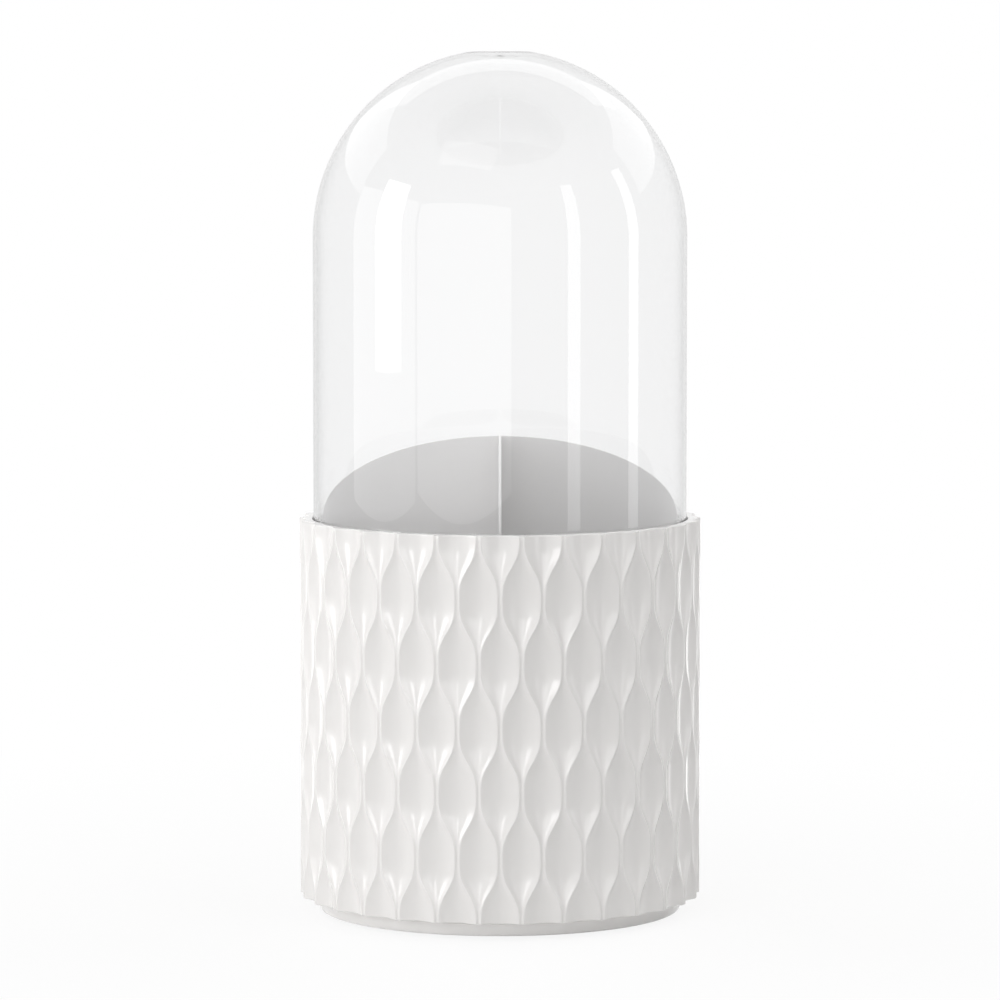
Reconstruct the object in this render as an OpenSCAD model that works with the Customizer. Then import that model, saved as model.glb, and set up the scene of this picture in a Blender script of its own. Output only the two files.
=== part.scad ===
// Round brush cup with an embossed wall and a clear domed lid, which turns on a low foot.
// The origin is the centre of the ring of pads on the surface that the foot stands on. +Z is up.
// The front of the cup faces -Y. Every size is in millimetres.

/* [Cup] */
// Radius of the cup over the crests of its ridges
cup_r = 62; // [58:0.5:70]
// Height of the embossed wall
wall_h = 117; // [100:1:140]
// Depth of the hollows below the crests
relief = 2; // [1:0.1:2.4]
// Thickness of the wall behind the deepest hollows
wall_t = 2; // [1.6:0.1:3]
// Chamfer round the rim
rim_edge = 0.4; // [0.2:0.1:0.6]
// Thickness of the cup's floor
cup_floor_t = 3.6; // [3.2:0.1:5]

/* [Embossed pattern] */
// Hollows round the cup in one row
cells = 30; // [24:1:34]
// Rows of hollows up the wall
rows = 3; // [2:1:4]
// Gap between the crests of two ridges where they come closest
ridge_gap = 1.4; // [1:0.1:2.4]
// How full the outline of a hollow is, from a plain wave upwards
fullness = 0.1; // [0:0.02:0.16]
// How fast a hollow gets shallower as it narrows
taper = 0.8; // [0.6:0.1:1.2]

/* [Dome] */
// Thickness of the dome
dome_t = 1.2; // [1:0.1:1.6]
// Straight part of the dome above the rim
dome_rise = 86.5; // [70:0.5:110]
// Depth of the dome's skirt below the rim
skirt_h = 11; // [8:0.5:16]
// Radius of the flat spot at the crown
crown_r = 9; // [5:0.5:14]
// Radius of the mould's gate mark under the crown
gate_r = 0.7; // [0.5:0.1:1]
// Height of the gate mark
gate_h = 1.1; // [0.6:0.1:1.6]
// How far the lid is from the cup's bore
dome_gap = 0.4; // [0.3:0.05:0.6]

/* [Liner] */
// Thickness of the liner's wall
liner_t = 1; // [0.8:0.1:1.4]
// Thickness of the liner's floor
liner_floor_t = 1.5; // [1.2:0.1:2.5]
// How far the liner's top is below the rim
liner_drop = 1.5; // [1:0.1:3]
// Thickness of the ledge that the dome stands on
ledge_t = 2; // [1.5:0.1:3]
// Gap between the liner and the dome's skirt
skirt_gap = 0.25; // [0.2:0.05:0.5]
// Gap between the liner's ledge and the cup's bore
ledge_gap = 0.15; // [0.1:0.05:0.3]
// How far the guide ribs stand out from the liner's wall
rib_d = 2.4; // [1.6:0.1:4]
// Thickness of a guide rib
rib_t = 1.4; // [1:0.1:2.4]
// How far the guide ribs stop below the rim
rib_drop = 10; // [6:0.5:20]

/* [Divider] */
// Thickness of a divider plate
divider_t = 0.9; // [0.8:0.1:1.6]
// Height of the plates' arch above the rim
arch_h = 25.2; // [16:0.2:36]
// Gap between the end of a plate and the liner's wall
end_gap = 0.25; // [0.2:0.05:0.5]
// Gap on each face of a plate, in its guide slot
slot_gap = 0.3; // [0.2:0.05:0.5]
// Gap on each face of a plate, in the other plate's slot
lap_gap = 0.1; // [0.05:0.05:0.3]

/* [Foot] */
// How far the foot stands back from the crests of the cup's ridges
foot_inset = 6.2; // [5:0.2:9]
// Thickness of the foot
foot_t = 4; // [3.8:0.1:5]
// Rounding of the foot's outer edges
foot_edge = 0.6; // [0.3:0.1:1]
// Gap between the foot and the cup's wall
foot_gap = 0.5; // [0.4:0.1:0.8]
// Radius of a pad
pad_r = 6; // [4:0.5:7]
// Thickness of a pad
pad_t = 1.8; // [1.4:0.1:2.2]
// How far the pads stand out under the foot
pad_lift = 0.8; // [0.5:0.1:1]
// Gap round a pad in its recess
pad_gap = 0.25; // [0.1:0.05:0.5]
// How far the pads stand back from the foot's edge
pad_inset = 3.8; // [2:0.2:6]
// Number of pads
pads = 4; // [3:1:6]

/* [Turntable] */
// Diameter of a ball
ball_d = 4; // [3.6:0.1:4.2]
// Number of balls
balls = 20; // [12:1:26]
// Radius of the balls' track
race_r = 36; // [28:0.5:37]
// How far a ball sinks into each track
race_depth = 0.3; // [0.2:0.05:0.5]
// Gap between a ball and its track
race_gap = 0.1; // [0.05:0.01:0.15]
// Gap between a ball and its pocket
pocket_gap = 0.15; // [0.1:0.05:0.3]
// Radial width of the cage
cage_w = 8; // [7:0.5:10]
// Thickness of the cage
cage_t = 2; // [1.4:0.1:2.2]
// Gap between the cage's edges and its recess
cage_gap = 0.5; // [0.4:0.1:0.8]

/* [Pivot] */
// Radius of the pivot boss under the cup's floor
pivot_r = 5; // [4:0.5:7]
// Running gap between the boss and the foot's bore
pivot_gap = 0.06; // [0.03:0.01:0.1]
// Wall round the foot's bore
hub_t = 8; // [6:0.5:12]
// Height of the hub above the foot
hub_h = 4.2; // [3:0.1:6]
// Gap round the hub
hub_gap = 0.6; // [0.5:0.1:1]
// Thickness of the cup's floor over the hub
hub_roof_t = 3; // [2:0.1:5]
// Radius of the washer
washer_r = 7; // [5.8:0.1:9]
// Thickness of the washer
washer_t = 0.8; // [0.6:0.1:1.2]
// Gap round the washer
washer_gap = 0.6; // [0.3:0.1:1]
// Radius of the screw's shank
screw_r = 1.5; // [1.2:0.1:2]
// Radius of the screw's head
head_r = 3.2; // [2.8:0.1:4.5]
// Height of the screw's head
head_h = 1.8; // [1.4:0.1:2.2]
// Gap round the screw's shank
screw_gap = 0.05; // [0.03:0.01:0.1]
// End play of the foot on the pivot
play = 0.15; // [0.1:0.05:0.3]
// Width of the screw's cross slot
cross_w = 0.8; // [0.6:0.1:1.2]
// Length of the screw's cross slot
cross_l = 3.8; // [3:0.1:4.6]
// Depth of the screw's cross slot
cross_d = 0.9; // [0.5:0.1:1.1]

/* [Hidden] */
$fn = 96;
over = 1; // how far a cutter runs past the face that it opens

// Levels, upwards from the pads
foot_z = pad_lift;
foot_top = foot_z + foot_t;
cup_z = foot_top + foot_gap;
rim_z = cup_z + wall_h;
cup_floor = cup_z + cup_floor_t;
race_z = (foot_top + cup_z) / 2;
track_z = ball_d / 2 - race_depth; // from the balls' centres to the face of a track
hub_top = foot_top + hub_h;
hub_roof = hub_top + foot_gap;
plateau_z = max(hub_roof + hub_roof_t, cup_floor);
washer_z = foot_z + play + head_h;
boss_z = washer_z + washer_t;
shoulder_z = boss_z + play;
liner_floor = plateau_z + liner_floor_t;
liner_top = rim_z - liner_drop;
seat_z = rim_z - skirt_h;
dome_z = rim_z + dome_rise;

// Radii, inwards from the cup's bore
bore_r = cup_r - relief - wall_t;
dome_r = bore_r - dome_gap;
dome_in = dome_r - dome_t;
liner_r = dome_in - skirt_gap;
liner_in = liner_r - liner_t;
span = liner_in - end_gap;
foot_r = cup_r - foot_inset;
pad_ring_r = foot_r - pad_inset - pad_r;
hub_r = pivot_r + hub_t;
crown_z = dome_z + sqrt(dome_r * dome_r - crown_r * crown_r);
slot_w = divider_t + 2 * slot_gap;
lap_w = divider_t + 2 * lap_gap;
pilot_r = screw_r + screw_gap;
tip_room = 0.5; // between the screw's tip and its pilot hole's end, and again above that

// The pattern: straight valleys, with one wavy ridge between each two of them. The ridges beside
// a valley swing towards it and away again, so the hollows along it narrow and widen in turn.
front = -90;
pitch = 360 / cells;
near = ridge_gap / 2 / cup_r * 180 / PI;
far = pitch / 2 - near;
steps = 8; // levels of points in one row of hollows
columns = 4 * cells;

// Half the angle of the hollows on the front valley at height z
function half_angle(z) =
    let (turn = 360 * rows * (z - cup_z) / wall_h)
    pitch / 4 + (pitch / 4 - near) * (cos(turn) - fullness * cos(3 * turn)) / (1 - fullness);

// Depth of a valley where its hollow has this half angle
function depth(half) = relief * pow(half / far, taper);

// Angle and radius of one column of the surface: valleys are even, ridges are odd
function column(i, z) =
    let (k = floor(i / 2), w = half_angle(z), half = k % 2 == 0 ? w : pitch / 2 - w)
    i % 2 == 0 ? [front + k * pitch / 2, cup_r - depth(half)] : [front + k * pitch / 2 + half, cup_r];

function place(c, z, inset) = [(c[1] - inset) * cos(c[0]), (c[1] - inset) * sin(c[0]), z];

// Height and inset of each level, with the rim's chamfer last
levels = concat([[cup_z - over, 0]],
                [for (j = [0 : steps * rows - 1]) [cup_z + wall_h * j / steps / rows, 0]],
                [[rim_z - rim_edge, 0], [rim_z + over, rim_edge + over]]);

// Solid block inside the embossed surface. It runs past the wall's ends, which shell_hollows cuts flat.
module embossed_block() {
    last = len(levels) - 1;
    polyhedron(
        points = [for (v = levels) for (i = [0 : columns - 1])
            place(column(i, min(max(v[0], cup_z), rim_z)), v[0], v[1])],
        faces = concat(
            [[for (i = [0 : columns - 1]) i]],
            [for (j = [0 : last - 1]) for (i = [0 : columns - 1])
                let (a = j * columns, b = a + columns, n = (i + 1) % columns)
                [a + i, b + i, b + n, a + n]],
            [[for (i = [columns - 1 : -1 : 0]) last * columns + i]]),
        convexity = 4);
}

// Half section of one track's groove and cage recess, cut upwards or downwards from the balls' centres
module track(up) {
    recess_in = race_r - cage_w / 2 - cage_gap;
    recess_w = cage_w + 2 * cage_gap;
    translate([0, race_z])
    mirror([0, up ? 0 : 1]) {
        translate([recess_in, 0]) square([recess_w, track_z]);
        intersection() {
            translate([race_r, 0]) circle(r = ball_d / 2 + race_gap);
            translate([recess_in, 0]) square([recess_w, ball_d]);
        }
    }
}

// Places its children under each pad
module pad_places() {
    for (i = [0 : pads - 1]) rotate([0, 0, 45 + i * 360 / pads]) translate([pad_ring_r, 0, 0]) children();
}

module foot_plate() {
    color("whitesmoke")
    difference() {
        union() {
            rotate_extrude() {
                translate([0, foot_z]) square([foot_r - foot_edge, foot_t]);
                translate([0, foot_z + foot_edge]) square([foot_r, foot_t - 2 * foot_edge]);
                for (z = [foot_z + foot_edge, foot_top - foot_edge])
                    translate([foot_r - foot_edge, z]) circle(r = foot_edge);
            }
            translate([0, 0, foot_z]) cylinder(r = hub_r, h = foot_t + hub_h);
        }
        rotate_extrude() track(false);
        cylinder(r = pivot_r + pivot_gap, h = hub_top + over);
        cylinder(r = washer_r + washer_gap, h = shoulder_z);
        pad_places() cylinder(r = pad_r + pad_gap, h = pad_t);
    }
}

module foot_pads() {
    color("gainsboro")
    pad_places() cylinder(r = pad_r, h = pad_t);
}

module ball_cage() {
    color("ivory")
    translate([0, 0, race_z - cage_t / 2])
    difference() {
        cylinder(r = race_r + cage_w / 2, h = cage_t);
        translate([0, 0, -over]) cylinder(r = race_r - cage_w / 2, h = cage_t + 2 * over);
        for (i = [0 : balls - 1]) rotate([0, 0, i * 360 / balls])
            translate([race_r, 0, -over]) cylinder(r = ball_d / 2 + pocket_gap, h = cage_t + 2 * over);
    }
}

module bearing_balls() {
    color("silver")
    for (i = [0 : balls - 1]) rotate([0, 0, i * 360 / balls])
        translate([race_r, 0, race_z]) sphere(r = ball_d / 2);
}

module pivot_washer() {
    color("silver")
    translate([0, 0, washer_z])
    difference() {
        cylinder(r = washer_r, h = washer_t);
        translate([0, 0, -over]) cylinder(r = screw_r + screw_gap, h = washer_t + 2 * over);
    }
}

module pivot_screw() {
    color("silver")
    difference() {
        union() {
            translate([0, 0, washer_z - head_h]) cylinder(r = head_r, h = head_h);
            translate([0, 0, washer_z]) cylinder(r = screw_r, h = plateau_z - 2 * tip_room - washer_z);
        }
        for (a = [0, 90]) rotate([0, 0, a])
            translate([-cross_l / 2, -cross_w / 2, washer_z - head_h - over])
                cube([cross_l, cross_w, cross_d + over]);
    }
}

// Half section of what is cut from the embossed block: its two ends, the cup, and the turntable's seat
module shell_hollows() {
    plateau_r = hub_r + hub_gap + wall_t;
    edge = rim_edge + over;
    for (z = [rim_z, cup_z - 2 * over]) translate([0, z]) square([cup_r + over, 2 * over]);
    translate([plateau_r, cup_floor]) square([bore_r - plateau_r, rim_z - cup_floor + over]);
    translate([0, plateau_z]) square([bore_r, rim_z - plateau_z + over]);
    polygon([[bore_r - edge, rim_z - 2 * edge + over], [bore_r + edge, rim_z + over], [0, rim_z + over]]);
    translate([pivot_r, cup_z - over]) square([hub_r + hub_gap - pivot_r, hub_roof - cup_z + over]);
    translate([0, cup_z - over]) square([pilot_r, plateau_z - tip_room - cup_z + over]);
    track(true);
}

module outer_shell() {
    color("white") {
        difference() {
            embossed_block();
            rotate_extrude() shell_hollows();
        }
        // the boss goes on down, into the foot's bore
        rotate_extrude() translate([pilot_r, boss_z]) square([pivot_r - pilot_r, cup_z - boss_z]);
    }
}

module inner_liner() {
    color("white") {
        rotate_extrude() {
            translate([liner_in, cup_floor]) square([liner_t, liner_top - cup_floor]);
            translate([0, plateau_z]) square([liner_r - liner_t / 2, liner_floor_t]);
            translate([liner_in + liner_t / 2, seat_z - ledge_t])
                square([bore_r - ledge_gap - liner_in - liner_t / 2, ledge_t]);
        }
        // a pair of ribs holds the end of each divider plate
        for (a = [0 : 90 : 270]) rotate([0, 0, a]) for (side = [-1, 1])
            translate([liner_in - rib_d, side * (slot_w + rib_t) / 2 - rib_t / 2, liner_floor - liner_floor_t / 2])
                cube([rib_d + liner_t / 2, rib_t, rim_z - rib_drop - liner_floor + liner_floor_t / 2]);
    }
}

// One divider plate, standing across the front, with a slot in its lower or its upper half
module divider_plate(slot_above) {
    arch_top = rim_z + arch_h;
    middle = (liner_floor + arch_top) / 2;
    translate([0, divider_t / 2, 0])
    rotate([90, 0, 0])
    linear_extrude(divider_t)
    difference() {
        polygon(concat([[-span, liner_floor], [span, liner_floor]],
                       [for (a = [0 : 5 : 180]) [span * cos(a), rim_z + arch_h * sin(a)]]));
        translate([-lap_w / 2, slot_above ? middle : liner_floor - over])
            square([lap_w, middle - liner_floor + over]);
    }
}

module divider_wide() {
    color("white") divider_plate(false);
}

module divider_deep() {
    color("white") rotate([0, 0, 90]) divider_plate(true);
}

// Half section of a dome-shaped solid of this radius, from one height up to another
module dome_section(r, bottom, top) {
    intersection() {
        union() {
            translate([0, dome_z]) circle(r = r);
            translate([0, bottom]) square([r, dome_z - bottom]);
        }
        translate([0, bottom]) square([r + over, top - bottom]);
    }
}

module dome_cover() {
    color([0.9, 0.93, 0.95, 0.3])
    rotate_extrude() {
        difference() {
            dome_section(dome_r, seat_z, crown_z);
            dome_section(dome_in, seat_z - over, crown_z - dome_t);
        }
        translate([0, crown_z - dome_t - gate_h]) square([gate_r, gate_h + dome_t / 2]);
    }
}

foot_plate();
foot_pads();
ball_cage();
bearing_balls();
pivot_screw();
pivot_washer();
outer_shell();
inner_liner();
divider_wide();
divider_deep();
dome_cover();
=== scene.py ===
"""Finish of a covered brush cup: an embossed white cup on a turning foot, under a clear dome.

Lengths are in metres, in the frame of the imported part: +Z is up and the front faces -Y.
"""

import math

import bmesh
import bpy
from bpy.props import FloatProperty, FloatVectorProperty, IntProperty, PointerProperty
from bpy.types import Operator, Panel, PropertyGroup
from mathutils import Matrix, Vector


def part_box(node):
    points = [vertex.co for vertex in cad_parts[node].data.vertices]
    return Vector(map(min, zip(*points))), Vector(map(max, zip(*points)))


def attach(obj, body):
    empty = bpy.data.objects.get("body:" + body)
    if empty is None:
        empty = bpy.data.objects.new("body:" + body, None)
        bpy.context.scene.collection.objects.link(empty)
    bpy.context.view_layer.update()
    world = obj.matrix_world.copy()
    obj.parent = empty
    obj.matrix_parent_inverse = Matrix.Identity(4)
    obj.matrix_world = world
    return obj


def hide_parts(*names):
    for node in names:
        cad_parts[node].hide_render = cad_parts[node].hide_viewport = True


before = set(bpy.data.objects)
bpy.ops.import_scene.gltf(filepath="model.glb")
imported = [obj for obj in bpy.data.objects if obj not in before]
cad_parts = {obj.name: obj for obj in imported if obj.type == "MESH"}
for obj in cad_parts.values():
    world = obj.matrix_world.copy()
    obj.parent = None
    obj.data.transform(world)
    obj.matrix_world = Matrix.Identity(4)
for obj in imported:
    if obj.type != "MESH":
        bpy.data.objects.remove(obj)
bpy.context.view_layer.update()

bl_info = {
    "name": "Covered Brush Cup",
    "version": (1, 0, 0),
    "blender": (4, 5, 0),
    "location": "3D View > Sidebar > Brush Cup",
    "description": "Builds the finished surfaces of a covered brush cup round its solids",
    "category": "Add Mesh",
}

FULL_TURN = math.tau
# Two lengths that differ by less than this are the same
TINY = 1e-6
QUARTERS = 4
# Straight stretches in the rounding of an edge
EDGE_STEPS = 3
# Corners of a full turn of the dome, the liner, a pad and the floor
DOME_TURN, LINER_TURN, PAD_TURN, FLOOR_TURN = 288, 144, 64, 96
# Straight stretches in the dome's top from its widest level to the axis, and in its lip's edges
DOME_ARC, LIP_STEPS = 90, 4
# Straight stretches in the balls' groove, in the liner's round top and in a divider's arch
GROOVE_STEPS, BEAD_STEPS, ARCH_STEPS = 6, 8, 90
SHELL_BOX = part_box("outer_shell")
DOME_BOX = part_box("dome_cover")
LINER_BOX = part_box("inner_liner")
WIDE_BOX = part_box("divider_wide")
PAD_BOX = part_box("foot_pads")


def length(name, default, description):
    """A size in metres that a user may change."""
    return FloatProperty(
        name=name, description=description, default=default, min=0.0, unit="LENGTH", precision=5
    )


def share(name, default, description):
    """A number from 0 to 1 that a user may change."""
    return FloatProperty(
        name=name, description=description, default=default, min=0.0, max=1.0, subtype="FACTOR"
    )


def colour(name, default, description):
    """A linear colour that a user may change."""
    return FloatVectorProperty(
        name=name, description=description, default=default, min=0.0, max=1.0, subtype="COLOR"
    )


class ShellSizes(PropertyGroup):
    """Sizes of the embossed cup."""

    crest_radius: length("Crest radius", 0.062, "Radius over the crests of the ridges")
    bore_radius: length("Bore radius", 0.058, "Radius inside the wall")
    wall_height: length("Wall height", 0.117, "Height of the embossed wall, up to the rim")
    relief: length("Relief", 0.002, "Depth of the widest hollows below the crests")
    edge_round: length("Edge rounding", 0.0004, "Rounding of the rim and of the wall's lower edge")
    cells: IntProperty(
        name="Hollows round the cup", description="Hollows in one row", default=30, min=8
    )
    rows: IntProperty(name="Rows", description="Rows of hollows up the wall", default=3, min=1)
    levels: IntProperty(
        name="Levels", description="Rings of points in one row of hollows", default=30, min=8
    )
    ridge_gap: length("Ridge gap", 0.0014, "Gap between two crests where they come closest")
    crest_round: length("Crest rounding", 0.00028, "Half the width of the rounded crest")
    fullness: share("Fullness", 0.1, "How full the outline of a hollow is")
    taper: FloatProperty(
        name="Taper", description="How fast a hollow gets shallower", default=0.8, min=0.1
    )
    section: FloatProperty(
        name="Section", description="Power of the hollow's section", default=1.95, min=1.0
    )


class SeatSizes(PropertyGroup):
    """Sizes of the cup's floor and of the turntable's seat under it."""

    floor_level: length("Floor level", 0.0089, "Level of the cup's floor")
    plateau_level: length("Plateau level", 0.0125, "Level of the raised middle of the floor")
    plateau_radius: length("Plateau radius", 0.0156, "Radius of the raised middle of the floor")
    hub_radius: length("Hub recess radius", 0.0136, "Radius of the recess over the foot's hub")
    hub_roof: length("Hub roof", 0.0095, "Level of the recess's roof")
    boss_radius: length("Boss radius", 0.005, "Radius of the pivot boss")
    pilot_radius: length("Pilot radius", 0.00155, "Radius of the screw's hole")
    pilot_top: length("Pilot top", 0.012, "Level of the end of the screw's hole")
    race_radius: length("Race radius", 0.036, "Radius of the balls' track")
    race_level: length("Race level", 0.00505, "Level of the balls' centres")
    groove_radius: length("Groove radius", 0.0021, "Radius of the track's groove")
    recess_roof: length("Recess roof", 0.00675, "Level of the face that the groove is cut in")
    recess_half: length("Recess half width", 0.0045, "Half the width of the cage's recess")


class DomeSizes(PropertyGroup):
    """Sizes of the clear dome."""

    radius: length("Radius", DOME_BOX[1].x, "Outer radius")
    wall: length("Wall", 0.0012, "Thickness of the dome")
    centre: length("Sphere centre", 0.2088, "Level of the centre of the domed top")
    crown_blend: length("Crown blend", 0.00012, "How soft the edge of the crown's flat spot is")
    lip_round: length("Lip rounding", 0.0003, "Rounding of the lower lip's edges")
    gate_radius: length("Gate radius", 0.0007, "Radius of the mould's gate mark")
    gate_height: length("Gate height", 0.0011, "Height of the gate mark under the crown")


class LinerSizes(PropertyGroup):
    """Sizes of the smooth liner in the cup."""

    outer_radius: length("Outer radius", 0.05615, "Outer radius of the liner's wall")
    wall: length("Wall", 0.001, "Thickness of the liner's wall")
    floor_top: length("Floor top", 0.014, "Level that the dividers stand on")
    floor_under: length("Floor underside", 0.0125, "Level of the floor's underside")
    ledge_top: length("Ledge top", 0.1113, "Level that the dome stands on")
    ledge_bottom: length("Ledge bottom", 0.1093, "Level of the ledge's underside")
    edge_round: length("Edge rounding", 0.0003, "Rounding of the top edge and the ledge")
    rib_depth: length("Rib depth", 0.0024, "How far a guide rib stands out")
    rib_width: length("Rib width", 0.0014, "Width of a guide rib")
    rib_top: length("Rib top", 0.1123, "Level of the guide ribs' tops")
    slot_width: length("Slot width", 0.0015, "Width between the two ribs of a pair")


class DividerSizes(PropertyGroup):
    """Sizes of the two divider plates."""

    span: length("Half span", WIDE_BOX[1].x, "From the axis to a plate's end")
    thickness: length("Thickness", 0.0009, "Thickness of a plate")
    foot_level: length("Foot level", 0.014, "Level that the plates stand on")
    lap_width: length("Lap width", 0.0011, "Width of the slot that takes the other plate")
    edge_round: length("Edge rounding", 0.0002, "Rounding of the plates' edges")


class PadSizes(PropertyGroup):
    """Sizes of the pads under the foot."""

    radius: length("Radius", 0.006, "Radius of a pad")
    ring: length("Ring radius", 0.046, "Distance of the pads from the axis")
    count: IntProperty(name="Count", description="Number of pads", default=4, min=3)
    edge_round: length("Edge rounding", 0.0004, "Rounding of a pad's edges")


class Colours(PropertyGroup):
    """Colours of the plastics."""

    shell: colour("Shell", (0.835, 0.82, 0.806), "White of the cup")
    # The foot's white is lighter than the cup's: painted light that stands in for light bounced
    # from the floor under the cup's overhang
    foot: colour("Foot", (0.9, 0.886, 0.872), "White of the foot")
    liner: colour("Liner", (0.83, 0.82, 0.81), "White of the liner")
    # The divider's colour is darker than the liner's white: painted shade for the shade that falls
    # on the plates inside the cup
    divider: colour("Divider", (0.70, 0.69, 0.685), "White of the divider plates")
    pad: colour("Pad", (0.36, 0.36, 0.355), "Grey of the pads")
    cage: colour("Cage", (0.74, 0.70, 0.60), "Natural colour of the ball cage")


class StageSizes(PropertyGroup):
    """Camera and light."""

    camera_distance: length("Camera distance", 1.649, "From the axis to the camera")
    camera_height: length("Camera height", 0.2758, "Height of the camera over the floor")
    camera_tilt: FloatProperty(
        name="Camera tilt",
        description="How far the camera looks down",
        default=math.radians(5.137),
        subtype="ANGLE",
    )
    focal_length: FloatProperty(
        name="Focal length", description="Focal length in millimetres", default=192.94, min=1.0
    )
    ambient: FloatProperty(
        name="Ambient", description="Strength of the light from all round", default=0.15, min=0.0
    )
    floor_radius: length("Floor radius", 6.0, "Radius of the floor")


class BrushCup(PropertyGroup):
    """All sizes and colours of the scene."""

    shell: PointerProperty(type=ShellSizes)
    seat: PointerProperty(type=SeatSizes)
    dome: PointerProperty(type=DomeSizes)
    liner: PointerProperty(type=LinerSizes)
    divider: PointerProperty(type=DividerSizes)
    pad: PointerProperty(type=PadSizes)
    colours: PointerProperty(type=Colours)
    stage: PointerProperty(type=StageSizes)


def arc(centre, radius, start, end, count):
    """Points of an arc in a half section, from one angle to another in degrees."""
    angles = [math.radians(start + (end - start) * i / count) for i in range(count + 1)]
    return [(centre[0] + radius * math.cos(a), centre[1] + radius * math.sin(a)) for a in angles]


def azimuth_of(point):
    """Angle of a point round the axis, from the front to the right."""
    return math.atan2(point.x, -point.y)


def turn_to(vert, radius, azimuth):
    """Moves a point to this radius and azimuth, on its own level."""
    vert.co.x = radius * math.sin(azimuth)
    vert.co.y = -radius * math.cos(azimuth)


def spun(profile, steps):
    """A bmesh turned about Z from the front, out of a half section of (radius, level) points."""
    bm = bmesh.new()
    points = [bm.verts.new((0, -radius, level)) for radius, level in profile]
    edges = [bm.edges.new(pair) for pair in zip(points, points[1:])]
    bmesh.ops.spin(
        bm,
        geom=points + edges,
        cent=(0, 0, 0),
        axis=(0, 0, 1),
        angle=FULL_TURN,
        steps=steps,
        use_merge=True,
    )
    bmesh.ops.remove_doubles(bm, verts=bm.verts, dist=TINY)
    return bm


def bevelled(bm, edges, width):
    """Rounds these edges of a bmesh."""
    bmesh.ops.bevel(
        bm,
        geom=edges,
        offset=width,
        offset_type="OFFSET",
        segments=EDGE_STEPS,
        profile=0.5,
        affect="EDGES",
        clamp_overlap=True,
        material=-1,
    )


def finished(bm, name, body, material, replaced, sharp=35.0):
    """Turns a bmesh into a smooth-shaded piece that rides on a body and stands for CAD nodes."""
    bmesh.ops.recalc_face_normals(bm, faces=bm.faces)
    for face in bm.faces:
        face.smooth = True
    for edge in bm.edges:
        edge.smooth = len(edge.link_faces) == 2 and edge.calc_face_angle() < math.radians(sharp)
    mesh = bpy.data.meshes.new(name)
    bm.to_mesh(mesh)
    bm.free()
    piece = bpy.data.objects.new(name, mesh)
    bpy.context.scene.collection.objects.link(piece)
    piece.data.materials.append(material)
    shading = piece.modifiers.new("large_faces_lead", "WEIGHTED_NORMAL")
    shading.keep_sharp = True
    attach(piece, body)
    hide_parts(*replaced)
    return piece


def blank_material(name):
    """A material with one Principled shader, and that shader."""
    material = bpy.data.materials.get(name)
    if material:
        return material, None
    material = bpy.data.materials.new(name)
    material.use_nodes = True
    return material, material.node_tree.nodes["Principled BSDF"]


def add_node(material, kind, inputs=(), **settings):
    """A new node of a material or world, with settings of its own and values for its inputs."""
    node = material.node_tree.nodes.new(kind)
    for name, value in settings.items():
        setattr(node, name, value)
    for name, value in dict(inputs).items():
        node.inputs[name].default_value = value
    return node


def join(material, source, target):
    """Links an output socket to an input socket."""
    material.node_tree.links.new(source, target)


def noise(material, scale, detail=3.0, rough=0.5):
    """Noise on Object coordinates, with scale in features per metre."""
    place = add_node(material, "ShaderNodeTexCoord")
    texture = add_node(
        material, "ShaderNodeTexNoise", {"Scale": scale, "Detail": detail, "Roughness": rough}
    )
    join(material, place.outputs["Object"], texture.inputs["Vector"])
    return texture.outputs["Fac"]


def spread(material, source, low, high):
    """Maps a noise from its usual 0.3 to 0.7 onto low to high."""
    ramp = add_node(
        material,
        "ShaderNodeMapRange",
        {"From Min": 0.3, "From Max": 0.7, "To Min": low, "To Max": high},
    )
    join(material, source, ramp.inputs["Value"])
    return ramp.outputs["Result"]


def bump(material, shader, height, distance, strength=1.0):
    """Gives a shader a bump from a height output."""
    node = add_node(material, "ShaderNodeBump", {"Strength": strength, "Distance": distance})
    join(material, height, node.inputs["Height"])
    join(material, node.outputs["Normal"], shader.inputs["Normal"])


def tinted(material, shader, base, scale, change):
    """Base colour that wanders a little, by change, in patches of 1 / scale metres."""
    mix = add_node(material, "ShaderNodeMix", data_type="RGBA")
    patches = spread(material, noise(material, scale), 0.0, 1.0)
    join(material, patches, mix.inputs["Factor"])
    mix.inputs["A"].default_value = (*[channel * (1 - change) for channel in base], 1)
    mix.inputs["B"].default_value = (*[min(channel * (1 + change), 1) for channel in base], 1)
    join(material, mix.outputs["Result"], shader.inputs["Base Color"])


def moulded_plastic(name, base, roughness, grain):
    """White moulded plastic: a glossy skin with a faint orange peel and slow changes of gloss."""
    material, shader = blank_material(name)
    if shader is None:
        return material
    tinted(material, shader, base, scale=28, change=0.006)
    uneven = noise(material, scale=55, detail=4.0)
    gloss = spread(material, uneven, low=roughness * 0.85, high=roughness * 1.2)
    join(material, gloss, shader.inputs["Roughness"])
    shader.inputs["IOR"].default_value = 1.5
    peel = noise(material, scale=grain, detail=2.0)
    bump(material, shader, peel, distance=0.00001, strength=0.5)
    return material


def glossy_white(name, base):
    """The glossy white of the cup and the foot."""
    return moulded_plastic(name, base, roughness=0.14, grain=700)


# The dome's colour is greyed as painted shade where its wall turns away from the eye, from this
# share of the way on; it stands in for the dark band at the wall's edge
PAINTED_SHADE_FROM, PAINTED_SHADE_POWER, PAINTED_EDGE_SHADE = 0.6, 2.0, (0.4, 0.402, 0.405, 1)
# The painted shade fades out over this height above the centre of the domed top
PAINTED_SHADE_FADE = 0.035


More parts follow.
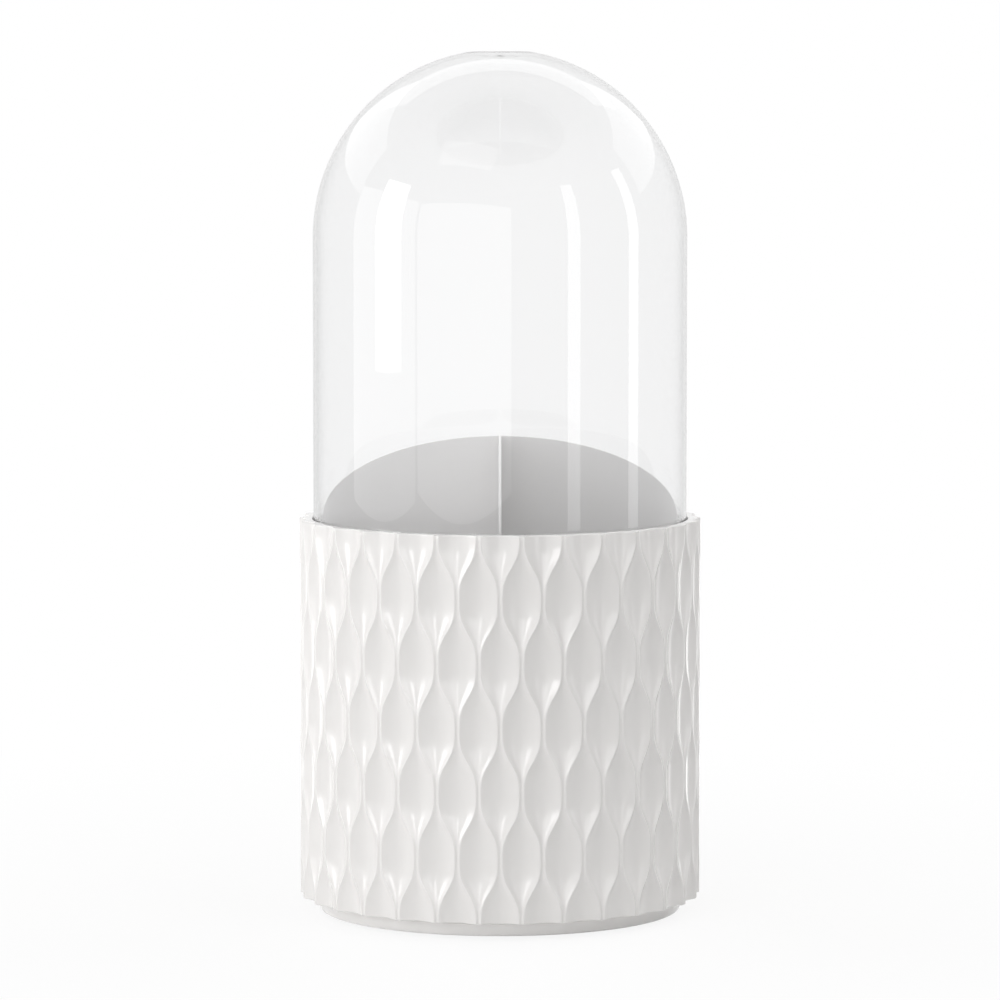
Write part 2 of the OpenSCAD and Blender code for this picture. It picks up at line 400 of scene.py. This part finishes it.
def painted_limb_shade(material):
    """Colour of the clear dome: white, with painted shade that greys it where its upright wall
    turns away.
    """
    edge = add_node(material, "ShaderNodeLayerWeight", {"Blend": 0.5})
    steep = add_node(material, "ShaderNodeMapRange", {"From Min": PAINTED_SHADE_FROM, "From Max": 1.0})
    join(material, edge.outputs["Facing"], steep.inputs["Value"])
    curved = add_node(material, "ShaderNodeMath", operation="POWER")
    curved.inputs[1].default_value = PAINTED_SHADE_POWER
    join(material, steep.outputs["Result"], curved.inputs[0])
    place = add_node(material, "ShaderNodeTexCoord")
    split = add_node(material, "ShaderNodeSeparateXYZ")
    join(material, place.outputs["Object"], split.inputs["Vector"])
    centre = bpy.context.scene.brush_cup.dome.centre
    upright = add_node(
        material,
        "ShaderNodeMapRange",
        {"From Min": centre, "From Max": centre + PAINTED_SHADE_FADE, "To Min": 1.0, "To Max": 0.0},
    )
    join(material, split.outputs["Z"], upright.inputs["Value"])
    # Share of painted shade: strongest where the upright wall turns away, none on the domed top
    painted_shade_share = add_node(material, "ShaderNodeMath", operation="MULTIPLY")
    join(material, curved.outputs["Value"], painted_shade_share.inputs[0])
    join(material, upright.outputs["Result"], painted_shade_share.inputs[1])
    tint = add_node(material, "ShaderNodeMix", data_type="RGBA")
    join(material, painted_shade_share.outputs["Value"], tint.inputs["Factor"])
    tint.inputs["A"].default_value = (1, 1, 1, 1)
    tint.inputs["B"].default_value = PAINTED_EDGE_SHADE
    return tint.outputs["Result"]


def clear_plastic():
    """Clear polished plastic that greys with its depth, has painted shade where its upright wall
    turns away, and ripples a little.
    """
    material, shader = blank_material("clear_dome_plastic")
    if shader is None:
        return material
    join(material, painted_limb_shade(material), shader.inputs["Base Color"])
    shader.inputs["Transmission Weight"].default_value = 1.0
    shader.inputs["Roughness"].default_value = 0.0
    shader.inputs["IOR"].default_value = 1.49
    ripple = noise(material, scale=22, detail=1.0)
    bump(material, shader, ripple, distance=0.0004, strength=0.06)
    output = material.node_tree.nodes["Material Output"]
    # The lamps' light goes through the wall, so the dome throws no hard shadow
    path = add_node(material, "ShaderNodeLightPath")
    clear = add_node(material, "ShaderNodeBsdfTransparent", {"Color": (0.94, 0.945, 0.95, 1)})
    mix = add_node(material, "ShaderNodeMixShader")
    join(material, path.outputs["Is Shadow Ray"], mix.inputs["Fac"])
    join(material, shader.outputs["BSDF"], mix.inputs[1])
    join(material, clear.outputs["BSDF"], mix.inputs[2])
    join(material, mix.outputs["Shader"], output.inputs["Surface"])
    depth = add_node(
        material, "ShaderNodeVolumeAbsorption", {"Color": (0.5, 0.505, 0.515, 1), "Density": 76.0}
    )
    join(material, depth.outputs["Volume"], output.inputs["Volume"])
    return material


def soft_pad():
    """Matt grey foam rubber with an open grain."""
    material, shader = blank_material("soft_pad_rubber")
    if shader is None:
        return material
    base = bpy.context.scene.brush_cup.colours.pad
    tinted(material, shader, base, scale=900, change=0.08)
    shader.inputs["Roughness"].default_value = 0.85
    pores = noise(material, scale=2400, detail=4.0)
    bump(material, shader, pores, distance=0.0001)
    return material


def nylon():
    """Natural nylon with a dull skin."""
    material, shader = blank_material("natural_nylon")
    if shader is None:
        return material
    base = bpy.context.scene.brush_cup.colours.cage
    tinted(material, shader, base, scale=120, change=0.03)
    gloss = spread(material, noise(material, scale=200), low=0.42, high=0.55)
    join(material, gloss, shader.inputs["Roughness"])
    skin = noise(material, scale=1500, detail=2.0)
    bump(material, shader, skin, distance=0.00003)
    return material


def metal(name, base, roughness, grain):
    """Bright metal with a fine grain in its gloss."""
    material, shader = blank_material(name)
    if shader is None:
        return material
    shader.inputs["Metallic"].default_value = 1.0
    tinted(material, shader, base, scale=300, change=0.03)
    brushed = noise(material, scale=grain, detail=4.0)
    gloss = spread(material, brushed, low=roughness * 0.8, high=roughness * 1.3)
    join(material, gloss, shader.inputs["Roughness"])
    return material


def dress(node, material):
    """Gives a CAD node a finished material in place of its flat colour."""
    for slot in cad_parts[node].material_slots:
        slot.material = material


# Columns of points in half a hollow, as shares of the way from its valley to its rounded crest
COLUMN_SHARES = (0.0, 0.15, 0.36, 0.6, 0.82, 1.0)


class Embossing:
    """The wavy ridges round the cup and the hollows between them."""

    def __init__(self, sizes):
        self.sizes = sizes
        self.bottom = SHELL_BOX[1].z - sizes.wall_height
        self.pitch = FULL_TURN / sizes.cells
        self.near = sizes.ridge_gap / 2 / sizes.crest_radius
        self.far = self.pitch / 2 - self.near
        self.half_columns = len(COLUMN_SHARES)
        # A cell has two valleys, and each valley has a half hollow on both sides
        self.steps = 4 * sizes.cells * self.half_columns

    def front_half(self, level):
        """Half the angle of the hollows on the front valley at this level."""
        sizes = self.sizes
        turn = FULL_TURN * sizes.rows * (level - self.bottom) / sizes.wall_height
        wave = (math.cos(turn) - sizes.fullness * math.cos(3 * turn)) / (1 - sizes.fullness)
        return self.pitch / 4 + (self.pitch / 4 - self.near) * wave

    def crest_share(self, half):
        """Width of the rounded crest, as a share of a hollow's half width."""
        return self.sizes.crest_round / (half * self.sizes.crest_radius)

    def sunk(self, half, way):
        """Depth at this share of the way from the valley to the crest."""
        sizes = self.sizes
        return sizes.relief * (half / self.far) ** sizes.taper * (1 - way**sizes.section)

    def moved(self, column, level):
        """Azimuth and depth of a column of points at this level."""
        count = self.half_columns
        valley, place = divmod(column + count, 2 * count)
        place -= count
        front_half = self.front_half(level)
        halves = front_half, self.pitch / 2 - front_half
        half = halves[valley % 2]
        if abs(place) == count:
            # The crest's middle lies half as deep as the mean of its two edges
            way = 1.0
            depth = sum(self.sunk(h, 1 - self.crest_share(h)) for h in halves) / 4
        else:
            way = COLUMN_SHARES[abs(place)] * (1 - self.crest_share(half))
            depth = self.sunk(half, way)
        azimuth = valley * self.pitch / 2 + math.copysign(half * way, place)
        return azimuth, depth

    def shape(self, bm):
        """Moves the points of the turned outer wall onto the pattern."""
        least = self.sizes.crest_radius - self.sizes.edge_round - TINY
        for vert in bm.verts:
            radius = vert.co.xy.length
            if radius < least:
                continue
            column = round(azimuth_of(vert.co) / FULL_TURN * self.steps)
            azimuth, depth = self.moved(column, vert.co.z)
            turn_to(vert, radius - depth, azimuth)


def shell_profile(sizes, seat, bottom, rim):
    """Half section of the cup, from the screw's hole round the outside to the floor's middle."""
    boss_bottom = SHELL_BOX[0].z
    crest, bore, edge = sizes.crest_radius, sizes.bore_radius, sizes.edge_round
    race, recess = seat.race_radius, seat.recess_half
    rise = math.degrees(math.asin((seat.recess_roof - seat.race_level) / seat.groove_radius))
    count = sizes.levels * sizes.rows
    low, high = bottom + edge, rim - edge
    wall = [(crest, low + (high - low) * i / count) for i in range(1, count)]
    return [
        (0, seat.pilot_top),
        (seat.pilot_radius, seat.pilot_top),
        (seat.pilot_radius, boss_bottom),
        (seat.boss_radius, boss_bottom),
        (seat.boss_radius, seat.hub_roof),
        (seat.hub_radius, seat.hub_roof),
        (seat.hub_radius, bottom),
        (race - recess, bottom),
        (race - recess, seat.recess_roof),
        *arc((race, seat.race_level), seat.groove_radius, 180 - rise, rise, GROOVE_STEPS),
        (race + recess, seat.recess_roof),
        (race + recess, bottom),
        *arc((crest - edge, low), edge, -90, 0, EDGE_STEPS),
        *wall,
        *arc((crest - edge, high), edge, 0, 90, EDGE_STEPS),
        *arc((bore + edge, high), edge, 90, 180, EDGE_STEPS),
        (bore, seat.floor_level),
        (seat.plateau_radius, seat.floor_level),
        (seat.plateau_radius, seat.plateau_level),
        (0, seat.plateau_level),
    ]


class BRUSHCUP_OT_embossed_shell(Operator):
    """Build the embossed cup"""

    bl_idname = "brush_cup.embossed_shell"
    bl_label = "Embossed Shell"

    def execute(self, context):
        cup = context.scene.brush_cup
        pattern = Embossing(cup.shell)
        profile = shell_profile(cup.shell, cup.seat, pattern.bottom, SHELL_BOX[1].z)
        bm = spun(profile, pattern.steps)
        pattern.shape(bm)
        skin = glossy_white("white_plastic_skin", cup.colours.shell)
        shell = finished(
            bm, "embossed_shell", "cup", skin, ["outer_shell"], sharp=50
        )
        cup_mirror().objects.link(shell)
        return {"FINISHED"}


# Radius and depth of the gate mark's flared root, as shares of the mark's radius and height
GATE_ROOT = ((1.6, 0.0), (1.15, 0.1), (1.0, 0.35))
# Rounding of the gate mark's tip, as a share of the mark's radius
GATE_ROUND = 0.4
# The inside of the dome is plain further from the axis than this many radii of the gate mark
GATE_REACH = 2.5


def dome_half(sizes, radius, crown):
    """Points of the domed top from its widest level to the axis, flattened softly at the crown."""
    points = []
    for r, level in arc((0, sizes.centre), radius, 0, 90, DOME_ARC):
        over = level - crown
        points.append((r, crown + (over - math.hypot(over, sizes.crown_blend)) / 2))
    points[-1] = (0, points[-1][1])
    return points


def dome_profile(sizes):
    """Half section of the dome, from the crown down the outside and up the inside to the gate."""
    inner, crown, seat = sizes.radius - sizes.wall, DOME_BOX[1].z, DOME_BOX[0].z
    lip, gate = sizes.lip_round, sizes.gate_radius
    tip_round = GATE_ROUND * gate
    under = dome_half(sizes, inner, crown - sizes.wall)
    over = dome_half(sizes, sizes.radius, crown)
    root = under[-1][1]
    tip = root - sizes.gate_height
    return [
        *reversed(over),
        *arc((sizes.radius - lip, seat + lip), lip, 0, -90, LIP_STEPS),
        *arc((inner + lip, seat + lip), lip, -90, -180, LIP_STEPS),
        *[point for point in under if point[0] > GATE_REACH * gate],
        *[(flare * gate, root - depth * sizes.gate_height) for flare, depth in GATE_ROOT],
        *arc((gate - tip_round, tip + tip_round), tip_round, 0, -90, EDGE_STEPS),
        (0, tip),
    ]


class BRUSHCUP_OT_clear_dome(Operator):
    """Build the clear dome"""

    bl_idname = "brush_cup.clear_dome"
    bl_label = "Clear Dome"

    def execute(self, context):
        bm = spun(dome_profile(context.scene.brush_cup.dome), DOME_TURN)
        skin = clear_plastic()
        finished(bm, "clear_dome", "dome", skin, ["dome_cover"], sharp=60)
        return {"FINISHED"}


def liner_profile(sizes):
    """Half section of the liner, from the middle of its underside to the middle of its floor."""
    outer, inner = sizes.outer_radius, sizes.outer_radius - sizes.wall
    bottom, top = LINER_BOX[0].z, LINER_BOX[1].z
    edge, half = sizes.edge_round, sizes.wall / 2
    ledge = LINER_BOX[1].x
    return [
        (0, sizes.floor_under),
        (inner, sizes.floor_under),
        (inner, bottom),
        (outer, bottom),
        (outer, sizes.ledge_bottom),
        *arc((ledge - edge, sizes.ledge_bottom + edge), edge, -90, 0, EDGE_STEPS),
        *arc((ledge - edge, sizes.ledge_top - edge), edge, 0, 90, EDGE_STEPS),
        (outer, sizes.ledge_top),
        *arc((outer - half, top - half), half, 0, 180, BEAD_STEPS),
        (inner, sizes.rib_top),
        *arc((inner - edge, sizes.floor_top + edge), edge, 0, -90, EDGE_STEPS),
        (0, sizes.floor_top),
    ]


class BRUSHCUP_OT_liner(Operator):
    """Build the liner with its guide ribs"""

    bl_idname = "brush_cup.liner"
    bl_label = "Liner"

    def execute(self, context):
        cup = context.scene.brush_cup
        sizes = cup.liner
        bm = spun(liner_profile(sizes), LINER_TURN)
        inner = sizes.outer_radius - sizes.wall
        near = math.asin(sizes.slot_width / 2 / inner)
        far = math.asin((sizes.slot_width / 2 + sizes.rib_width) / inner)
        places = {1: near, 2: far}
        for vert in bm.verts:
            radius = vert.co.xy.length
            if radius < TINY:
                continue
            column = round(azimuth_of(vert.co) / FULL_TURN * LINER_TURN)
            quarter = round(column / LINER_TURN * QUARTERS)
            offset = column - quarter * LINER_TURN // QUARTERS
            if abs(offset) in places:
                beside = math.copysign(places[abs(offset)], offset)
                turn_to(vert, radius, quarter * FULL_TURN / QUARTERS + beside)
        self.raise_ribs(bm, sizes, inner, near, far)
        skin = moulded_plastic(
            "liner_plastic_skin", cup.colours.liner, roughness=0.36, grain=500
        )
        finished(bm, "cup_liner", "cup", skin, ["inner_liner"])
        return {"FINISHED"}

    @staticmethod
    def raise_ribs(bm, sizes, inner, near, far):
        """Pulls the wall's faces beside each slot inwards as guide ribs."""
        low, high = sizes.floor_top + sizes.edge_round - TINY, sizes.rib_top + TINY
        for face in [f for f in bm.faces if len(f.verts) == 4]:
            centre = face.calc_center_median()
            if not all(abs(v.co.xy.length - inner) < TINY * 10 for v in face.verts):
                continue
            if not all(low < v.co.z < high for v in face.verts):
                continue
            turned = azimuth_of(centre) % (FULL_TURN / QUARTERS)
            if not near < min(turned, FULL_TURN / QUARTERS - turned) < far:
                continue
            grown = bmesh.ops.extrude_face_region(bm, geom=[face])["geom"]
            verts = [g for g in grown if isinstance(g, bmesh.types.BMVert)]
            quarter = round(azimuth_of(centre) / FULL_TURN * QUARTERS) * FULL_TURN / QUARTERS
            outwards = Vector((math.sin(quarter), -math.cos(quarter), 0))
            bmesh.ops.translate(bm, verts=verts, vec=-outwards * sizes.rib_depth)
            bmesh.ops.delete(bm, geom=[face], context="FACES_KEEP_BOUNDARY")


def plate(sizes, arch, slot_above):
    """A divider plate across the front, with an arched top and a slot from above or below."""
    rim, crown = SHELL_BOX[1].z, WIDE_BOX[1].z
    middle = (sizes.foot_level + crown) / 2
    half = sizes.lap_width / 2
    angles = [math.pi * i / ARCH_STEPS for i in range(ARCH_STEPS + 1)]
    top = [(sizes.span * math.cos(a), rim + arch * math.sin(a)) for a in angles]
    if slot_above:
        edge_level = rim + arch * math.sqrt(1 - (half / sizes.span) ** 2)
        slot = [(half, edge_level), (half, middle), (-half, middle), (-half, edge_level)]
        cut = len(top) // 2
        top = top[:cut] + slot + top[cut + 1 :]
        base = [(-sizes.span, sizes.foot_level), (sizes.span, sizes.foot_level)]
    else:
        base = [
            (-sizes.span, sizes.foot_level),
            (-half, sizes.foot_level),
            (-half, middle),
            (half, middle),
            (half, sizes.foot_level),
            (sizes.span, sizes.foot_level),
        ]
    bm = bmesh.new()
    verts = [bm.verts.new((x, -sizes.thickness / 2, z)) for x, z in top + base]
    edges = [bm.edges.new(pair) for pair in zip(verts, verts[1:] + verts[:1])]
    face = bmesh.ops.contextual_create(bm, geom=edges)["faces"][0]
    grown = bmesh.ops.extrude_face_region(bm, geom=[face])["geom"]
    back = [g for g in grown if isinstance(g, bmesh.types.BMVert)]
    bmesh.ops.translate(bm, verts=back, vec=(0, sizes.thickness, 0))
    rims = [e for e in bm.edges if abs(e.verts[0].co.y - e.verts[1].co.y) < TINY]
    bevelled(bm, rims, sizes.edge_round)
    return bm


class BRUSHCUP_OT_divider_plates(Operator):
    """Build the two divider plates"""

    bl_idname = "brush_cup.divider_plates"
    bl_label = "Divider Plates"

    def execute(self, context):
        cup = context.scene.brush_cup
        arch = WIDE_BOX[1].z - SHELL_BOX[1].z
        # The plates' darker colour carries painted shade
        skin = moulded_plastic(
            "divider_plastic_painted_shade", cup.colours.divider, roughness=0.42, grain=400
        )
        wide = plate(cup.divider, arch, slot_above=False)
        finished(wide, "divider_across", "divider", skin, ["divider_wide"])
        deep = plate(cup.divider, arch, slot_above=True)
        bmesh.ops.rotate(
            deep, verts=deep.verts, cent=(0, 0, 0), matrix=Matrix.Rotation(FULL_TURN / 4, 3, "Z")
        )
        finished(deep, "divider_lengthwise", "divider", skin, ["divider_deep"])
        return {"FINISHED"}


class BRUSHCUP_OT_foot(Operator):
    """Finish the foot and build the pads under it"""

    bl_idname = "brush_cup.foot"
    bl_label = "Foot and Pads"

    def execute(self, context):
        cup = context.scene.brush_cup
        sizes = cup.pad
        # The foot's lighter white carries painted light
        dress("foot_plate", glossy_white("foot_plastic_painted_light", cup.colours.foot))
        bm = bmesh.new()
        thickness = PAD_BOX[1].z - PAD_BOX[0].z
        for i in range(sizes.count):
            azimuth = FULL_TURN * (i + 0.5) / sizes.count
            centre = Vector((math.cos(azimuth), math.sin(azimuth), 0)) * sizes.ring
            centre.z = PAD_BOX[0].z + thickness / 2
            bmesh.ops.create_cone(
                bm,
                cap_ends=True,
                segments=PAD_TURN,
                radius1=sizes.radius,
                radius2=sizes.radius,
                depth=thickness,
                matrix=Matrix.Translation(centre),
            )
        caps = {e for f in bm.faces if len(f.verts) > 4 for e in f.edges}
        bevelled(bm, list(caps), sizes.edge_round)
        finished(bm, "grip_pads", "foot", soft_pad(), ["foot_pads"])
        return {"FINISHED"}


class BRUSHCUP_OT_turntable(Operator):
    """Finish the bearing and the pivot"""

    bl_idname = "brush_cup.turntable"
    bl_label = "Turntable"

    def execute(self, context):
        dress("ball_cage", nylon())
        steel = metal("polished_steel", (0.62, 0.62, 0.63), roughness=0.12, grain=800)
        dress("bearing_balls", steel)
        zinc = metal("zinc_plate", (0.58, 0.6, 0.63), roughness=0.3, grain=1500)
        for node in ("pivot_screw", "pivot_washer"):
            dress(node, zinc)
        return {"FINISHED"}


def seen_white(material):
    """1 where the background is seen as white: by the camera, in gloss or through the dome."""
    path = add_node(material, "ShaderNodeLightPath")
    total = path.outputs["Is Camera Ray"]
    for name in ("Is Glossy Ray", "Is Transmission Ray"):
        larger = add_node(material, "ShaderNodeMath", operation="MAXIMUM")
        join(material, total, larger.inputs[0])
        join(material, path.outputs[name], larger.inputs[1])
        total = larger.outputs["Value"]
    return total


def pale_floor():
    """Pale floor that keeps a soft shadow near the cup and is white further out."""
    material, shader = blank_material("pale_floor")
    if shader is None:
        return material
    shader.inputs["Base Color"].default_value = (0.88, 0.88, 0.88, 1)
    shader.inputs["Roughness"].default_value = 0.9
    shader.inputs["Specular IOR Level"].default_value = 0.0
    place = add_node(material, "ShaderNodeTexCoord")
    reach = add_node(material, "ShaderNodeVectorMath", operation="LENGTH")
    join(material, place.outputs["Object"], reach.inputs[0])
    fade = add_node(
        material,
        "ShaderNodeMapRange",
        {"From Min": 0.06, "From Max": 0.4, "To Min": 0.88, "To Max": 1.0},
        interpolation_type="SMOOTHSTEP",
    )
    join(material, reach.outputs["Value"], fade.inputs["Value"])
    seen = add_node(material, "ShaderNodeMath", operation="MULTIPLY")
    join(material, seen_white(material), seen.inputs[0])
    join(material, fade.outputs["Result"], seen.inputs[1])
    white = add_node(material, "ShaderNodeEmission", {"Strength": 1.0})
    mix = add_node(material, "ShaderNodeMixShader")
    join(material, seen.outputs["Value"], mix.inputs["Fac"])
    join(material, shader.outputs["BSDF"], mix.inputs[1])
    join(material, white.outputs["Emission"], mix.inputs[2])
    output = material.node_tree.nodes["Material Output"]
    join(material, mix.outputs["Shader"], output.inputs["Surface"])
    return material


def lit_world(strength):
    """World that gives soft light from all round, and is white where it is seen."""
    world = bpy.data.worlds.new("white_room")
    world.use_nodes = True
    world.node_tree.nodes.clear()
    plain = {"Color": (1, 1, 1, 1)}
    light = add_node(world, "ShaderNodeBackground", {**plain, "Strength": strength})
    white = add_node(world, "ShaderNodeBackground", {**plain, "Strength": 1.0})
    mix = add_node(world, "ShaderNodeMixShader")
    output = add_node(world, "ShaderNodeOutputWorld")
    join(world, seen_white(world), mix.inputs["Fac"])
    join(world, light.outputs["Background"], mix.inputs[1])
    join(world, white.outputs["Background"], mix.inputs[2])
    join(world, mix.outputs["Shader"], output.inputs["Surface"])
    return world


# Each lamp: name, azimuth from the front to the right and rise, both in degrees, width, height,
# radiance and distance from the cup's middle.
# Boxes that light the cup and are mirrored in it
SEEN_LAMPS = (
    ("left_front_wall", -22, 13, 1.49, 0.75, 1.17, 1.4),
    ("left_side_wall", -76, 13, 1.2, 0.75, 1.15, 1.4),
    ("left_key", -22, 13, 0.73, 0.7, 0.95, 1.4),
    ("left_window", -71, 18, 0.44, 0.78, 1.5, 1.35),
)
# Lamps that only light, so that the clear dome shows none of them
HIDDEN_LAMPS = (
    ("high_left_lamp", -27.5, 57, 0.7, 0.45, 3.9, 1.4),
    ("high_right_lamp", 55, 62, 0.6, 0.6, 3.6, 1.4),
    ("back_left_box", -120, 36, 1.35, 0.7, 2.9, 1.4),
    ("back_right_box", 120, 36, 1.35, 0.7, 3.2, 1.4),
)
# Cards that are only mirrored in gloss
GLOSS_CARDS = (
    ("left_window_gloss", -71, 20, 0.4, 0.7, 4.0, 1.3),
    ("high_window_gloss", -27.5, 55, 0.7, 0.34, 0.85, 1.4),
    ("right_strip", 45, 18, 0.19, 1.0, 2.2, 1.4),
    ("right_back_strip", 88, 18, 0.19, 1.0, 2.2, 1.4),
    ("back_left_card", -128, 36, 1.2, 0.6, 0.75, 1.4),
    ("back_right_card", 128, 36, 1.2, 0.6, 0.72, 1.4),
    ("back_top_card", 180, 52, 1.6, 0.4, 0.7, 1.4),
)
# Cards that only the cup's shell mirrors, so that the clear dome shows none of them
CUP_CARDS = (
    ("left_key_gloss", -20, 16, 0.26, 0.52, 5.0, 1.3),
    ("front_card_gloss", 12, 17, 0.82, 0.52, 2.0, 1.3),
    ("low_right_card", 136, -2.6, 0.18, 0.1, 2.3, 0.26),
    ("low_left_card", -136, -2.6, 0.18, 0.1, 1.6, 0.26),
)
# Lamps that rise more degrees than this face the cup's middle, and lower ones stand upright
UPRIGHT_RISE = 45


def cup_mirror():
    """The collection that holds the cup's shell, for the cards that only it mirrors."""
    name = "cup_mirror"
    return bpy.data.collections.get(name) or bpy.data.collections.new(name)


def softbox(name, azimuth, rise, width, height, radiance, distance, lit=True, mirrored=True):
    """A rectangular lamp round the cup's middle, which may light, be mirrored in gloss, or both."""
    lamp = bpy.data.lights.new(name, "AREA")
    lamp.shape = "RECTANGLE"
    lamp.size, lamp.size_y = width, height
    lamp.energy = radiance * math.pi * width * height
    box = bpy.data.objects.new(name, lamp)
    bpy.context.scene.collection.objects.link(box)
    turn, lift = math.radians(azimuth), math.radians(rise)
    middle = SHELL_BOX[1].z / 2
    reach, level = distance * math.cos(lift), middle + distance * math.sin(lift)
    box.location = (reach * math.sin(turn), -reach * math.cos(turn), level)
    aim = Vector((0, 0, middle if rise > UPRIGHT_RISE else level))
    box.rotation_euler = (aim - box.location).to_track_quat("-Z", "Y").to_euler()
    box.visible_camera = False
    box.visible_transmission = False
    box.visible_diffuse = lit
    box.visible_glossy = mirrored
    return box


class BRUSHCUP_OT_stage(Operator):
    """Build the floor, the light and the camera"""

    bl_idname = "brush_cup.stage"
    bl_label = "Stage"

    def execute(self, context):
        scene, sizes = context.scene, context.scene.brush_cup.stage
        bm = bmesh.new()
        bmesh.ops.create_circle(
            bm, cap_ends=True, radius=sizes.floor_radius, segments=FLOOR_TURN
        )
        mesh = bpy.data.meshes.new("floor")
        bm.to_mesh(mesh)
        bm.free()
        floor = bpy.data.objects.new("floor", mesh)
        scene.collection.objects.link(floor)
        floor.data.materials.append(pale_floor())

        for lamp in SEEN_LAMPS:
            softbox(*lamp)
        for lamp in HIDDEN_LAMPS:
            softbox(*lamp, mirrored=False)
        for card in GLOSS_CARDS:
            softbox(*card, lit=False)
        for card in CUP_CARDS:
            box = softbox(*card, lit=False)
            box.light_linking.receiver_collection = cup_mirror()

        scene.world = lit_world(sizes.ambient)
        camera = bpy.data.cameras.new("camera")
        camera.lens = sizes.focal_length
        camera.clip_start, camera.clip_end = 0.05, 50
        view = bpy.data.objects.new("camera", camera)
        scene.collection.objects.link(view)
        view.location = (0, -sizes.camera_distance, sizes.camera_height)
        view.rotation_euler = (math.pi / 2 - sizes.camera_tilt, 0, 0)
        scene.camera = view
        scene.view_settings.view_transform = "Standard"
        return {"FINISHED"}


class VIEW3D_PT_brush_cup(Panel):
    """Lists the steps that build the brush cup"""

    bl_label = "Brush Cup"
    bl_space_type = "VIEW_3D"
    bl_region_type = "UI"
    bl_category = "Brush Cup"

    def draw(self, context):
        for operator in OPERATORS:
            self.layout.operator(operator.bl_idname)


OPERATORS = (
    BRUSHCUP_OT_stage,
    BRUSHCUP_OT_embossed_shell,
    BRUSHCUP_OT_liner,
    BRUSHCUP_OT_divider_plates,
    BRUSHCUP_OT_clear_dome,
    BRUSHCUP_OT_foot,
    BRUSHCUP_OT_turntable,
)
GROUPS = (
    ShellSizes,
    SeatSizes,
    DomeSizes,
    LinerSizes,
    DividerSizes,
    PadSizes,
    Colours,
    StageSizes,
    BrushCup,
)


def register():
    for group in GROUPS:
        bpy.utils.register_class(group)
    bpy.types.Scene.brush_cup = PointerProperty(type=BrushCup)
    for operator in OPERATORS:
        bpy.utils.register_class(operator)
    bpy.utils.register_class(VIEW3D_PT_brush_cup)


def unregister():
    bpy.utils.unregister_class(VIEW3D_PT_brush_cup)
    for operator in reversed(OPERATORS):
        bpy.utils.unregister_class(operator)
    del bpy.types.Scene.brush_cup
    for group in reversed(GROUPS):
        bpy.utils.unregister_class(group)


def main():
    """Registers the classes and builds every piece."""
    register()
    for operator in OPERATORS:
        group, step = operator.bl_idname.split(".")
        getattr(getattr(bpy.ops, group), step)()


if __name__ == "__main__":
    main()
